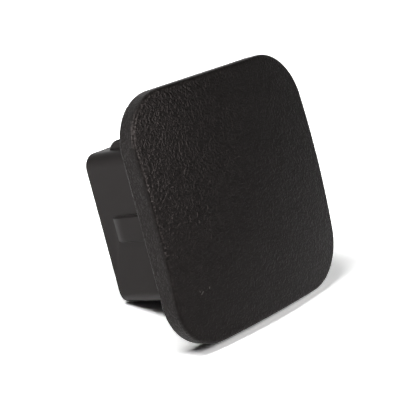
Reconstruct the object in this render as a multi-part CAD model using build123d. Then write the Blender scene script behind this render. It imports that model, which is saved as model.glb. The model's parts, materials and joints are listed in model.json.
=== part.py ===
from build123d import *
from math import asin, atan2, cos, degrees, hypot, radians, sin, sqrt, tan
import os

os.makedirs("parts", exist_ok=True)

# Hitch receiver cover, moulded in one piece. A crowned square plate hides the end of the
# receiver tube, and a hollow square plug behind it goes into the tube.
# It is drawn as it sits in the tube: the plug runs along +Y, the plate's rear edge is in the
# plane Y = 0 and the plate's middle is on the Y axis. At the end it is leaned back to lie on
# two edges, the plate's lower rear edge and the lower edge of the plug's free end.

# Receiver tube, square inside
tube_bore = 50.8
plate_overlap = 12.7          # how far the plate reaches past the bore, on every side
plate_rise = 0.6              # the plate's middle above the tube's middle

# Cover plate
plate_corner_radius = 15.6
plate_thickness = 9.8         # at the middle, from the rear edge to the top of the crown
crown_radius = 290.0          # the front is part of a ball
rim_lean = 2.3                # degrees, the rim opens out towards the front
shoulder_radius = 1.25        # between the rim and the crown
rear_edge_radius = 0.7
plate_wall = 2.6

# Plug
side_gap = 1.4                # bare plug to tube, on the left and on the right
plug_length = 32.3            # behind the plate's rear edge
plug_corner_radius = 4.5
plug_wall = 2.5
hollow_corner_radius = 1.2
plug_end_chamfer = 0.5        # outer edge of the free end
core_draft = 1.0              # degrees, every hollow narrows towards the front

# Ribs in the hollow back of the plate, with their rear edges in line with the rim's
rib_thickness = 1.8

# Raised pads that take up the play in the tube: one on each side, two on top
pad_width = 8.3
side_pad_rise = 0.3           # the side pads' middle above the plug's
pad_setback = 6.3             # from the free end to where a pad starts to rise
pad_lead_in = 4.9             # length of the rounded rise
pad_play = 0.1                # what is left between the pads and the tube, in all
pad_edge_chamfer = 0.6
top_pad_inset = 5.4           # from the plug's side to the outer edge of a top pad

plate_width = tube_bore + 2 * plate_overlap
plug_width = tube_bore - 2 * side_gap
# The plug lies on the tube's floor, so all of its upright play is above it
plug_bottom = -plate_rise - tube_bore / 2
plug_middle = plug_bottom + plug_width / 2
side_pad_height = (tube_bore - plug_width - pad_play) / 2
top_pad_height = tube_bore - plug_width - pad_play
pad_start = plug_length - pad_setback


# The ball of the crown, or the one inside it that leaves an even wall
def crown_ball(wall=0.0):
    return Pos(0, crown_radius - plate_thickness, 0) * Sphere(crown_radius - wall)


# A block with rounded corners that starts at Y = rear and runs forwards by depth
def square_block(width, corner_radius, rear, depth, middle=0.0, lean=0.0):
    plane = Plane((0, rear, middle), x_dir=(1, 0, 0), z_dir=(0, -1, 0))
    return extrude(plane * RectangleRounded(width, width, corner_radius), amount=depth, taper=lean)


# The plate before its back is hollowed
def plate_body():
    body = square_block(plate_width, plate_corner_radius, 0, plate_thickness, lean=-rim_lean)
    body = body & crown_ball()
    front_edges = [e for e in body.edges() if e.center().Y < -rear_edge_radius]
    shoulder = [e for e in front_edges if e.bounding_box().size.Y < crown_sag()]
    body = fillet(shoulder, shoulder_radius)
    rear_face = body.faces().sort_by(Axis.Y)[-1]
    return fillet(rear_face.outer_wire().edges(), rear_edge_radius)


# How much lower the crown is at the plate's side than at its middle
def crown_sag():
    return crown_radius - sqrt(crown_radius**2 - (plate_width / 2) ** 2)


# A raised pad on the plane Z = 0: it rises as an arc from Y = pad_start and runs to the front
def pad(height):
    arc_radius = (pad_lead_in**2 + height**2) / (2 * height)
    crest = pad_start - pad_lead_in
    half_turn = asin(pad_lead_in / arc_radius) / 2
    on_arc = (crest + arc_radius * sin(half_turn), height - arc_radius * (1 - cos(half_turn)))
    root = -plug_wall / 2
    front = -plate_thickness
    outline = Polyline((pad_start, 0), (pad_start, root), (front, root), (front, height), (crest, height))
    rise = ThreePointArc((crest, height), on_arc, (pad_start, 0))
    side_view = Plane((-pad_width / 2, 0, 0), x_dir=(0, 1, 0), z_dir=(1, 0, 0))
    body = extrude(side_view * make_face([outline, rise]), amount=pad_width)
    raised = [e for e in body.edges() if e.center().Z > height / 3 and abs(e.center().X) > pad_width / 3]
    return chamfer(raised, pad_edge_chamfer)


# The plug's outside, from its free end forwards into the plate
def plug_body():
    body = square_block(
        plug_width, plug_corner_radius, plug_length, plug_length + plate_thickness, plug_middle
    )
    free_end = body.faces().sort_by(Axis.Y)[-1]
    body = chamfer(free_end.outer_wire().edges(), plug_end_chamfer)
    reach = plug_width / 2
    for side in (-1, 1):
        side_pad_z = plug_middle + side_pad_rise
        body += Pos(side * reach, 0, side_pad_z) * Rot(0, side * 90, 0) * pad(side_pad_height)
        top_pad_x = side * (reach - top_pad_inset - pad_width / 2)
        body += Pos(top_pad_x, 0, plug_middle + reach) * pad(top_pad_height)
    return body


# Ribs that carry the plug's four walls on outwards to the rim
def ribs():
    span = plug_width / 2 - plug_corner_radius
    depth = 2 * plate_thickness
    bars = []
    for side in (-1, 1):
        bars.append(Pos(side * span, 0, 0) * Box(rib_thickness, depth, plate_width))
        bars.append(Pos(0, 0, plug_middle + side * span) * Box(plate_width, depth, rib_thickness))
    return bars


def receiver_cover():
    plate = plate_body()
    room = square_block(
        plate_width - 2 * plate_wall,
        plate_corner_radius - plate_wall,
        0,
        plate_thickness,
        lean=core_draft,
    )
    room = room & crown_ball(plate_wall)
    cover = plate - room
    for bar in ribs():
        cover += bar & room
    plug = plug_body()
    in_front = Pos(0, -plate_width, 0) * Box(2 * plate_width, 2 * plate_width, 2 * plate_width)
    cover += plug - in_front
    cover += plug & in_front & plate
    hollow_width = plug_width - 2 * plug_wall
    hollow = square_block(
        hollow_width,
        hollow_corner_radius,
        plug_length,
        plug_length + plate_thickness,
        plug_middle,
        lean=core_draft,
    )
    return cover - (hollow & crown_ball(plate_wall))


# The angle that lays the cover on the rounded rear edge of its rim and on the corner below the
# chamfer of its plug, and how far the plate's middle then lies above the surface
def rest_lean():
    lean = radians(rim_lean)
    rim_y = -rear_edge_radius
    rim_z = -plate_width / 2 - rear_edge_radius * tan(lean) + rear_edge_radius / cos(lean)
    across = plug_length - plug_end_chamfer - rim_y
    up = plug_bottom - rim_z
    angle = atan2(up, across) + asin(rear_edge_radius / hypot(across, up))
    lift = rear_edge_radius + rim_y * sin(angle) - rim_z * cos(angle)
    return degrees(angle), lift


cover = receiver_cover()
angle, lift = rest_lean()
cover = Pos(0, 0, lift) * Rot(-angle, 0, 0) * cover
cover = Pos(0, -cover.bounding_box().center().Y, 0) * cover
export_step(cover, "parts/receiver_cover.step")
print("leaned back", round(angle, 3), "degrees, lowest point", round(cover.bounding_box().min.Z, 4))
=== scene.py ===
import json
from math import atan2, cos, pi, radians, sin, sqrt, tan

import bmesh
import bpy
from mathutils import Matrix, Vector, noise


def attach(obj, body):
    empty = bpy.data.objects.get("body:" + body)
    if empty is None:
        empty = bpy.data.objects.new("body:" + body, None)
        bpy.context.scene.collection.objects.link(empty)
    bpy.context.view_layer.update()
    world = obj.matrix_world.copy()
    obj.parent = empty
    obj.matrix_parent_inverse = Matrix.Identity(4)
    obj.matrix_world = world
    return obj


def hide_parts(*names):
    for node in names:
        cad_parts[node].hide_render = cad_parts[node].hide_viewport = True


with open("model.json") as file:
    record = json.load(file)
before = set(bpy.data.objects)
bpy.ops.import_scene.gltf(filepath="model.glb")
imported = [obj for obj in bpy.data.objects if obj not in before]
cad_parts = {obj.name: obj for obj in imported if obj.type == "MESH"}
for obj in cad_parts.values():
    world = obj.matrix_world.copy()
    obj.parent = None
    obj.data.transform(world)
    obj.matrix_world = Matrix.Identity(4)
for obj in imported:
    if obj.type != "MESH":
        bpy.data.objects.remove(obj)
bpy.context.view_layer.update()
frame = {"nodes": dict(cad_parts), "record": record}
mm = 0.001
print("frame loaded")

# The cover lies leaned back on its rim and its plug. It is easier to work on upright, so the
# mesh is turned square to its plate, worked on, and leaned back again at the end.
mounts = {mount["name"]: mount for mount in frame["record"]["mounts"]}
plugAxis = Vector(mounts["plug"]["axis"])
leanBack = atan2(-plugAxis.z, plugAxis.y)

# Upright, the plate's rear edge is at y = 0, its crown towards -y and its middle at x = z = 0
plate = {
    "half": 38.1 * mm,          # half its width at the rear edge
    "corner": 15.6 * mm,
    "thickness": 9.8 * mm,
    "crown": 290 * mm,          # radius of the ball that the front is part of
    "rimLean": radians(2.3),
    "shoulder": 1.25 * mm,
    "rearEdge": 0.7 * mm,
    "straightSteps": 144,       # mesh steps along one straight side
    "cornerSteps": 64,          # and round one corner
    "steps": {"edge": 3, "rim": 22, "shoulder": 6, "crown": 25},
    "crownBand": 8 * mm,        # rings go this far in, and a square grid fills the rest
    "seam": 0.5 * mm,           # strip of the flat rear edge between the skin and the rest
    "skinDepth": 0.8 * mm,      # what lies nearer to the outline than this is skin,
    "flatEdge": 0.01 * mm,      # if it also lies this far in front of the flat rear edge
    "facesFront": 0.3,          # and so is the crown, which looks forwards at least this much
    "weld": 0.001 * mm,         # the solid's loose triangles are joined within this
    "rounds": 6,                # in which the middle of the shoulder's arc settles
    "sharpFrom": radians(30),   # where the smooth parts turn more than this, the edge is sharp
}
ballMiddle = plate["crown"] - plate["thickness"]
sideSteps = plate["straightSteps"] + plate["cornerSteps"]

# Moulded grain, cut in from the true surface, so nothing stands proud of the moulding
grain = {
    "wrinkle": 0.85 * mm,       # size of the wrinkles
    "wrinkleDepth": 0.056 * mm,
    "valley": 0.3,              # width of a wrinkle's valley as a share of its size
    "warp": 0.35,               # how far the wrinkles wander,
    "warpSize": 2.3,            # over how many of their own sizes,
    "seed": 3,                  # and which way, the same in each run
    "fineScale": 2.1,           # how many times finer the fine wrinkles are,
    "fineShare": 0.5,           # and how strong
    "pebble": 0.75 * mm,
    "pebbleDepth": 0.037 * mm,
    "pebbleGap": 0.5,           # width of the gap between pebbles as a share of their size
}


# The ball of the crown over a point of the plate
def crownAt(point):
    return ballMiddle - sqrt(plate["crown"] ** 2 - point.length_squared)


# How far a point lies outside the plate's outline, negative inside, and the way out
def outside(point):
    inner = plate["half"] - plate["corner"]
    over = Vector((max(abs(point.x) - inner, 0), max(abs(point.y) - inner, 0)))
    if over.length > 0:
        way = over.normalized()
        reach = over.length
    else:
        way = Vector((1, 0)) if abs(point.x) > abs(point.y) else Vector((0, 1))
        reach = max(abs(point.x), abs(point.y)) - inner
    way = Vector((way.x if point.x > 0 else -way.x, way.y if point.y > 0 else -way.y))
    return reach - plate["corner"], way


# One station on the outline: its point, the way out, and its shoulder's middle and last angle
def profile(index):
    side, step = divmod(index, sideSteps)
    inner = plate["half"] - plate["corner"]
    straight = plate["straightSteps"]
    angle = max(step - straight, 0) / plate["cornerSteps"] * pi / 2
    along = inner * (2 * min(step / straight, 1) - 1)
    out = Vector((cos(angle), sin(angle)))
    point = Vector((inner, along)) + out * plate["corner"]
    turn = Matrix.Rotation(side * pi / 2, 2)
    point, out = turn @ point, turn @ out
    radius, lean = plate["shoulder"], plate["rimLean"]
    height = -plate["thickness"]
    for _ in range(plate["rounds"]):
        outwards = -height * tan(lean) - radius / cos(lean)
        ball = point + out * outwards
        height = ballMiddle - sqrt((plate["crown"] - radius) ** 2 - ball.length_squared)
    return point, out, outwards, height, atan2(height - ballMiddle, ball.dot(out))


# A point of the skin over a station. share runs from 0 to 1 through each stretch.
def skinPoint(station, stretch, share):
    point, out, outwards, height, endAngle = station
    lean, edge = plate["rimLean"], plate["rearEdge"]
    if stretch == "edge":
        angle = pi / 2 + (lean - pi / 2) * share
        step = edge * (tan(lean) - 1 / cos(lean) + cos(angle))
        y = edge * (sin(angle) - 1)
    elif stretch == "rim":
        first = edge * (sin(lean) - 1)
        last = height + plate["shoulder"] * sin(lean)
        y = first + (last - first) * share
        step = -y * tan(lean)
    elif stretch == "shoulder":
        angle = lean + (endAngle - lean) * share
        step = outwards + plate["shoulder"] * cos(angle)
        y = height + plate["shoulder"] * sin(angle)
    else:
        first = outwards + plate["shoulder"] * cos(endAngle)
        step = first + (-plate["crownBand"] - first) * share
        y = crownAt(point + out * step)
    place = point + out * step
    return Vector((place.x, y, place.y))


# The skin of rim and crown, grown ring by ring from the flat rear edge and closed with a grid
def growSkin(mesh):
    stations = [profile(index) for index in range(4 * sideSteps)]
    stationOf = mesh.verts.layers.int.new("station")
    ring = bmesh.ops.create_circle(mesh, segments=len(stations), radius=plate["half"])["verts"]
    for index, vert in enumerate(ring):
        vert[stationOf] = index
        vert.co = skinPoint(stations[index], "edge", 0)
    edges = list(dict.fromkeys(edge for vert in ring for edge in vert.link_edges))
    firstRing = edges
    skin = set(ring)
    for stretch, steps in plate["steps"].items():
        for step in range(1, steps + 1):
            grown = bmesh.ops.extrude_edge_only(mesh, edges=edges)["geom"]
            ring = {part for part in grown if isinstance(part, bmesh.types.BMVert)}
            for vert in ring:
                vert.co = skinPoint(stations[vert[stationOf]], stretch, step / steps)
            edges = [
                part for part in grown
                if isinstance(part, bmesh.types.BMEdge) and set(part.verts) <= ring
            ]
            skin |= ring
    # The grid runs between two opposite stretches, from the middle of one corner to the next
    cornerMiddle = plate["straightSteps"] + plate["cornerSteps"] // 2
    rails = []
    for edge in edges:
        low, high = sorted(vert[stationOf] for vert in edge.verts)
        start = high if high - low > 1 else low
        side = (start - cornerMiddle) // sideSteps % 4
        if side % 2 == 0:
            rails.append(edge)
    filled = bmesh.ops.grid_fill(mesh, edges=rails, use_smooth=True)["faces"]
    for vert in {vert for face in filled for vert in face.verts} - skin:
        vert.co.y = crownAt(Vector((vert.co.x, vert.co.z)))
        skin.add(vert)
    return firstRing, skin


# The turned box of the moulding gives the way from the frame's origin to the upright one
def findShift():
    turn = Matrix.Rotation(leanBack, 3, "X")
    points = [turn @ vert.co for vert in frame["nodes"]["receiver_cover"].data.vertices]
    front = min(point.y for point in points)
    heights = [point.z for point in points]
    return Vector((0, -plate["thickness"] - front, -(min(heights) + max(heights)) / 2))


shift = findShift()


# The moulding without the skin of its plate, which leaves one open loop on the flat rear edge
def openMoulding(mesh):
    mesh.from_mesh(frame["nodes"]["receiver_cover"].data)
    bmesh.ops.remove_doubles(mesh, verts=mesh.verts, dist=plate["weld"])
    bmesh.ops.rotate(mesh, verts=mesh.verts, matrix=Matrix.Rotation(leanBack, 3, "X"))
    bmesh.ops.translate(mesh, verts=mesh.verts, vec=shift)
    skinFaces = []
    for face in mesh.faces:
        middle = face.calc_center_median()
        reach, _ = outside(Vector((middle.x, middle.z)))
        onRim = reach > -plate["skinDepth"] and middle.y < -plate["flatEdge"]
        inFront = middle.y < -plate["thickness"] / 2
        if onRim or inFront and face.normal.y < -plate["facesFront"]:
            skinFaces.append(face)
    bmesh.ops.delete(mesh, geom=skinFaces, context="FACES")
    loop = [edge for edge in mesh.edges if edge.is_boundary]
    for vert in {vert for edge in loop for vert in edge.verts}:
        reach, way = outside(Vector((vert.co.x, vert.co.z)))
        vert.co.x -= way.x * plate["seam"]
        vert.co.z -= way.y * plate["seam"]
    return loop


# Depth of the grain at a point of the skin: worm-like wrinkles on a bed of soft pebbles
def grainDepth(point):
    size = grain["wrinkle"]
    bent = point / size + noise.noise_vector(point / (grain["warpSize"] * size)) * grain["warp"]
    fine = abs(noise.noise(bent * grain["fineScale"]))
    crease = abs(noise.noise(bent)) + grain["fineShare"] * fine
    valley = max(0.0, 1 - crease / grain["valley"])
    nearest, second = noise.voronoi(point / grain["pebble"])[0][:2]
    dip = max(0.0, 1 - (second - nearest) / grain["pebbleGap"])
    return grain["wrinkleDepth"] * valley + grain["pebbleDepth"] * dip


# Presses the grain into the skin, along its own normals and never outwards
def pressGrain(mesh, skin):
    mesh.normal_update()
    noise.seed_set(grain["seed"])
    pressed = {vert: vert.co - vert.normal * grainDepth(vert.co) for vert in skin}
    for vert, place in pressed.items():
        vert.co = place


# Wraps one socket of a material, so that its maths reads as ordinary Python. One without a
# socket only starts a tree.
class Value:
    def __init__(self, tree, socket=None):
        self.tree = tree
        self.socket = socket

    # Any node: its type, its sockets' values or links by name or number, the socket that is
    # read, and its settings, which are set first
    def node(self, kind, inputs=None, output=0, **settings):
        made = self.tree.nodes.new(kind)
        for name, setting in settings.items():
            setattr(made, name, setting)
        for name, given in (inputs or {}).items():
            if isinstance(given, Value):
                self.tree.links.new(given.socket, made.inputs[name])
            else:
                made.inputs[name].default_value = given
        return Value(self.tree, made.outputs[output])

    def maths(self, operation, first, second=0.0):
        return self.node("ShaderNodeMath", {0: first, 1: second}, operation=operation)

    def __add__(self, other):
        return self.maths("ADD", self, other)

    def __radd__(self, other):
        return self.maths("ADD", other, self)

    def __sub__(self, other):
        return self.maths("SUBTRACT", self, other)

    def __rsub__(self, other):
        return self.maths("SUBTRACT", other, self)

    def __mul__(self, other):
        return self.maths("MULTIPLY", self, other)

    def __rmul__(self, other):
        return self.maths("MULTIPLY", other, self)

    def __abs__(self):
        return self.maths("ABSOLUTE", self)

    # 0 below low, 1 above high, with a soft change between
    def between(self, low, high):
        inputs = {"Value": self, "From Min": low, "From Max": high}
        return self.node("ShaderNodeMapRange", inputs, interpolation_type="SMOOTHSTEP")


# A new material with its shader's fixed values set, and the point on the upright cover
def startMaterial(name, look):
    material = bpy.data.materials.new(name)
    material.use_nodes = True
    tree = material.node_tree
    shader = next(node for node in tree.nodes if node.type == "BSDF_PRINCIPLED")
    shader.inputs["IOR"].default_value = look["ior"]
    shader.inputs["Specular IOR Level"].default_value = look["specular"]
    shader.inputs["Specular Tint"].default_value = (*look["tint"], 1)
    here = Value(tree).node("ShaderNodeTexCoord", output="Object")
    upright = here.node(
        "ShaderNodeMapping", {"Vector": here, "Rotation": (leanBack, 0, 0), "Location": shift}
    )
    return material, shader, upright


noiseMiddle = 0.5   # a noise swings about this value


def noiseAt(point, size, detail, roughness=0.5):
    inputs = {"Vector": point, "Scale": 1 / size, "Detail": detail, "Roughness": roughness}
    return point.node("ShaderNodeTexNoise", inputs)


# A Mix node's colours are its inputs 6 and 7, and the mixed one is its output 2
def mixColour(factor, first, second):
    ends = [end if isinstance(end, Value) else (*end, 1) for end in (first, second)]
    inputs = {"Factor": factor, 6: ends[0], 7: ends[1]}
    return factor.node("ShaderNodeMix", inputs, output=2, data_type="RGBA")


# Links values to a shader's sockets, where Base_Color stands for Base Color
def plugIn(shader, **sockets):
    for name, given in sockets.items():
        socket = shader.inputs[name.replace("_", " ")]
        given.tree.links.new(given.socket, socket)


grainedLook = {
    "ior": 1.5,
    "specular": 0.09,
    "tint": (1.0, 0.87, 0.84),
    "dark": (0.0022, 0.0019, 0.0017),
    "light": (0.0068, 0.0058, 0.0054),
    "cloud": 14 * mm,           # size of the clouds that mix dark and light,
    "cloudShare": 0.4,          # and their share, the rest goes by the relief as painted shade in its valleys
    "roughLow": 0.31,           # on the heights of the relief
    "roughHigh": 0.41,          # and in its valleys
    "bumpDepth": 0.12 * mm,
    "crease": 1.6 * mm,         # size of the relief's creases
    "creaseRagged": 0.62,
    "creaseSteep": 6,
    "creaseShare": 0.7,         # of the relief, the rest is cells
    "cell": 1.28 * mm,
    "cellEdge": 0.3,            # width of a cell's edge as a share of its size
    # Painted sheen: a paler colour on the rim and its shoulder, standing in for the light they
    # reflect
    "paintedSheen": (0.036, 0.033, 0.032),
    "rimDepth": (0.14 * mm, 0.7 * mm),  # below the crown's ball, the rim's paler painted sheen sets in
    "valleyBloom": 0.5,         # how much of the painted sheen the valleys have
    "scuffed": (0.085, 0.080, 0.075),
    "nickEdge": 0.4,            # share of a nick over which it fades out
    # Small nicks low on the face: middle and half sizes in mm, and slope in degrees
    "nicks": [
        {"at": (-28.0, -7.6, -21.7), "size": (0.85, 3.0, 0.25), "slope": 34},
        {"at": (-28.8, -7.6, -21.0), "size": (0.40, 3.0, 0.20), "slope": 100},
        {"at": (-25.0, -7.9, -21.1), "size": (0.40, 3.0, 0.28), "slope": 60},
    ],
}


# 1 inside the nicks, which are slim ellipses seen from the front
def nickedAt(point, look):
    nicked = 0.0
    for nick in look["nicks"]:
        inputs = {
            "Vector": point,
            "Location": Vector(nick["at"]) * mm,
            "Rotation": (0, -radians(nick["slope"]), 0),
            "Scale": Vector(nick["size"]) * mm,
        }
        inside = point.node("ShaderNodeMapping", inputs, vector_type="TEXTURE")
        away = point.node("ShaderNodeVectorMath", {0: inside}, output="Value", operation="LENGTH")
        nicked = nicked + (1 - away).between(0, look["nickEdge"])
    return nicked


# Black plastic with a wrinkled moulded grain, for the plate's face and rim, with painted shade in
# the grain's valleys and a painted sheen on the rim
def grainedPlastic():
    look = grainedLook
    material, shader, point = startMaterial("grained_plastic", look)
    swing = noiseAt(point, look["crease"], detail=3.0, roughness=look["creaseRagged"])
    creases = (abs(swing - noiseMiddle) * look["creaseSteep"]).between(0, 1)
    inputs = {"Vector": point, "Scale": 1 / look["cell"]}
    cells = point.node("ShaderNodeTexVoronoi", inputs, feature="DISTANCE_TO_EDGE")
    cells = cells.between(0, look["cellEdge"])
    height = creases * look["creaseShare"] + cells * (1 - look["creaseShare"])
    cloud = noiseAt(point, look["cloud"], detail=3.0)
    # Painted shade and highlight: the colour is darker in the relief's valleys and paler on its
    # heights, mixed with clouds of random tone
    paintedShadeAndTone = height * (1 - look["cloudShare"]) + cloud * look["cloudShare"]
    face = mixColour(paintedShadeAndTone, look["dark"], look["light"])
    # The rim and shoulder get the painted sheen where they fall below the crown's ball, more on
    # the relief's heights than in its valleys
    inputs = {0: point, 1: (0, ballMiddle, 0)}
    reach = point.node("ShaderNodeVectorMath", inputs, output="Value", operation="DISTANCE")
    rim = (plate["crown"] - reach).between(*look["rimDepth"])
    paintedSheen = rim * (height * (1 - look["valleyBloom"]) + look["valleyBloom"])
    colour = mixColour(paintedSheen, face, look["paintedSheen"])
    colour = mixColour(nickedAt(point, look), colour, look["scuffed"])
    rough = look["roughHigh"] - height * (look["roughHigh"] - look["roughLow"])
    bump = height.node(
        "ShaderNodeBump", {"Height": height, "Strength": 1.0, "Distance": look["bumpDepth"]}
    )
    plugIn(shader, Base_Color=colour, Roughness=rough, Normal=bump)
    return material


satinLook = {
    "ior": 1.5,
    "specular": 0.21,
    "tint": (1.0, 0.90, 0.88),
    "dark": (0.0060, 0.0050, 0.0047),
    "light": (0.0085, 0.0072, 0.0068),
    "rough": 0.42,
    "roughSpread": 0.1,
    "mottle": 6 * mm,
    "ripple": 0.5 * mm,
    "rippleDepth": 0.0035 * mm,
    "rippleSpread": 0.06,
    "draw": (1, 0.15, 1),       # the ripple is drawn out along the plug
}


# The same plastic from the smooth parts of the mould, for the plug and the hollow back
def satinPlastic():
    look = satinLook
    material, shader, point = startMaterial("satin_plastic", look)
    mottle = noiseAt(point, look["mottle"], detail=4.0)
    drawn = point.node("ShaderNodeMapping", {"Vector": point, "Scale": look["draw"]})
    ripple = noiseAt(drawn, look["ripple"], detail=3.0)
    colour = mixColour(mottle, look["dark"], look["light"])
    rough = look["rough"] + (mottle - noiseMiddle) * look["roughSpread"]
    rough = rough + (ripple - noiseMiddle) * look["rippleSpread"]
    bump = ripple.node(
        "ShaderNodeBump", {"Height": ripple, "Strength": 1.0, "Distance": look["rippleDepth"]}
    )
    plugIn(shader, Base_Color=colour, Roughness=rough, Normal=bump)
    return material


# The operators leave the faces in a chance order, and this puts them in a fixed one
def sortFaces(mesh):
    mesh.verts.index_update()
    count = len(mesh.verts)
    mesh.faces.sort(key=lambda face: face.verts[0].index * count + face.verts[1].index)


# The whole moulding as one closed mesh, with its grain, in place of the plain solid
def makeCover():
    mesh = bmesh.new()
    openLoop = openMoulding(mesh)
    firstRing, skin = growSkin(mesh)
    bmesh.ops.bridge_loops(mesh, edges=openLoop + firstRing)
    bmesh.ops.recalc_face_normals(mesh, faces=mesh.faces)
    sortFaces(mesh)
    pressGrain(mesh, skin)
    for face in mesh.faces:
        face.smooth = True
        face.material_index = 0 if all(vert in skin for vert in face.verts) else 1
    for edge in mesh.edges:
        onSkin = any(vert in skin for vert in edge.verts)
        edge.smooth = onSkin or edge.calc_face_angle(0) < plate["sharpFrom"]
    bmesh.ops.translate(mesh, verts=mesh.verts, vec=-shift)
    bmesh.ops.rotate(mesh, verts=mesh.verts, matrix=Matrix.Rotation(-leanBack, 3, "X"))
    print("cover:", len(mesh.verts), "points,", len(mesh.faces), "faces")
    data = bpy.data.meshes.new("cover")
    mesh.to_mesh(data)
    mesh.free()
    cover = bpy.data.objects.new("cover", data)
    bpy.context.scene.collection.objects.link(cover)
    data.materials.append(grainedPlastic())
    data.materials.append(satinPlastic())
    weighted = cover.modifiers.new("flat faces stay flat", "WEIGHTED_NORMAL")
    weighted.keep_sharp = True
    return cover


cover = makeCover()
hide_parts("receiver_cover")
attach(cover, "root")
print("cover made")

studio = {
    "floorSize": 8.0,
    "floorRough": 0.9,
    "floorColour": (1.0, 1.0, 1.0),     # in plain light,
    "floorSeen": (1.85, 1.85, 1.85),    # and as it is seen, as a white background with a shadow
    "whiteFrom": 0.15,          # further out than this, the floor fades into the wall's white
    "whiteTo": 0.45,
    "wall": (1.0, 1.0, 1.0),    # what shows behind the cover, and low down in its gloss
    "ceiling": (0.12, 0.12, 0.12),
    "wallTop": 0.10,            # the white wall ends at this height, as a sine,
    "ceilingFrom": 0.40,        # and the dim ceiling starts here
    "flag": (0.02, 0.02, 0.02),
    "flagWay": (0.62, -0.78, 0.14),     # a dark flag stands here, and darkens the face's middle
    "flagEdge": 0.78,           # cosines of the angles at which it ends
    "flagCore": 0.97,
    "ambient": (0.004, 0.004, 0.004),   # plain light from all around
}

# Each lamp: where it stands, its width and length, its power in watts, and whether it lights
# plain colour, gloss or all
lamps = {
    "overhead": {"place": (-0.46, 0.27, 1.08), "size": (0.26, 0.80), "power": 11.0, "for": "all"},
    "fill": {"place": (0.90, -0.70, 0.60), "size": (0.60, 0.60), "power": 10.5, "for": "colour"},
    "front": {"place": (-0.05, -1.10, 0.80), "size": (0.20, 0.20), "power": 48.0, "for": "gloss"},
    "left": {"place": (-0.92, 0.10, 0.62), "size": (0.40, 0.40), "power": 26.0, "for": "gloss"},
}


# 1 for what the camera sees, straight or in gloss or through glass, and 0 for plain light
def seenRay(start):
    names = ("Is Camera Ray", "Is Glossy Ray", "Is Transmission Ray")
    camera, glossy, through = (start.node("ShaderNodeLightPath", output=name) for name in names)
    return (camera + glossy + through).between(0, 1)


# The floor keeps the cover's shadow, and is white where it is seen
def makeFloor():
    mesh = bmesh.new()
    bmesh.ops.create_grid(mesh, x_segments=1, y_segments=1, size=studio["floorSize"] / 2)
    data = bpy.data.meshes.new("floor")
    mesh.to_mesh(data)
    mesh.free()
    floor = bpy.data.objects.new("floor", data)
    bpy.context.scene.collection.objects.link(floor)
    material = bpy.data.materials.new("pale_floor")
    material.use_nodes = True
    tree = material.node_tree
    shader = next(node for node in tree.nodes if node.type == "BSDF_PRINCIPLED")
    shader.inputs["Roughness"].default_value = studio["floorRough"]
    shader.inputs["Specular IOR Level"].default_value = 0.0
    start = Value(tree)
    seen = seenRay(start)
    plugIn(shader, Base_Color=mixColour(seen, studio["floorColour"], studio["floorSeen"]))
    here = start.node("ShaderNodeTexCoord", output="Object")
    reach = here.node("ShaderNodeVectorMath", {0: here}, output="Value", operation="LENGTH")
    far = reach.between(studio["whiteFrom"], studio["whiteTo"]) * seen
    glow = start.node("ShaderNodeEmission", {"Color": (*studio["wall"], 1)})
    lit = Value(tree, shader.outputs["BSDF"])
    surface = far.node("ShaderNodeMixShader", {0: far, 1: lit, 2: glow})
    end = next(node for node in tree.nodes if node.type == "OUTPUT_MATERIAL")
    tree.links.new(surface.socket, end.inputs["Surface"])
    data.materials.append(material)


# Seen straight, the world is the white wall, and in gloss it is the room with its dark flag
def makeSky():
    world = bpy.data.worlds.new("studio")
    bpy.context.scene.world = world
    world.use_nodes = True
    tree = world.node_tree
    background = next(node for node in tree.nodes if node.type == "BACKGROUND")
    start = Value(tree)
    way = start.node("ShaderNodeTexCoord", output="Generated")
    height = way.node("ShaderNodeSeparateXYZ", {"Vector": way}, output="Z")
    rise = height.between(studio["wallTop"], studio["ceilingFrom"])
    room = mixColour(rise, studio["wall"], studio["ceiling"])
    flagWay = Vector(studio["flagWay"]).normalized()
    inputs = {0: way, 1: flagWay}
    near = way.node("ShaderNodeVectorMath", inputs, output="Value", operation="DOT_PRODUCT")
    flag = near.between(studio["flagEdge"], studio["flagCore"])
    shown = mixColour(flag, room, studio["flag"])
    camera = start.node("ShaderNodeLightPath", output="Is Camera Ray")
    colour = mixColour(seenRay(start), studio["ambient"], mixColour(camera, shown, studio["wall"]))
    tree.links.new(colour.socket, background.inputs["Color"])


def makeLamp(name, lamp):
    light = bpy.data.lights.new(name, "AREA")
    light.shape = "ELLIPSE"
    light.size, light.size_y = lamp["size"]
    light.energy = lamp["power"]
    holder = bpy.data.objects.new(name, light)
    bpy.context.scene.collection.objects.link(holder)
    holder.visible_diffuse = lamp["for"] != "gloss"
    holder.visible_glossy = lamp["for"] != "colour"
    holder.location = lamp["place"]
    holder.rotation_euler = (-Vector(lamp["place"])).to_track_quat("-Z", "Y").to_euler()


makeFloor()
makeSky()
for name, lamp in lamps.items():
    makeLamp(name, lamp)
print("studio made")

# The photograph's camera: it looks down on the cover from the front left
view = {
    "looksAt": (-0.00167, 0.00031, 0.03204),
    "distance": 0.417,
    "azimuth": radians(-49.884),
    "elevation": radians(22.588),
    "roll": radians(1.215),
    "lens": 121.87,
    "sensor": 36.0,
    "nearest": 0.01,            # what is closer isn't shown
}


def makeCamera():
    data = bpy.data.cameras.new("camera")
    data.lens = view["lens"]
    data.sensor_width = view["sensor"]
    data.clip_start = view["nearest"]
    camera = bpy.data.objects.new("camera", data)
    bpy.context.scene.collection.objects.link(camera)
    turn = (
        Matrix.Rotation(view["azimuth"], 3, "Z")
        @ Matrix.Rotation(pi / 2 - view["elevation"], 3, "X")
        @ Matrix.Rotation(view["roll"], 3, "Z")
    )
    camera.rotation_euler = turn.to_euler()
    camera.location = Vector(view["looksAt"]) + turn @ Vector((0, 0, view["distance"]))
    bpy.context.scene.camera = camera


makeCamera()
bpy.context.scene.view_settings.view_transform = "Standard"
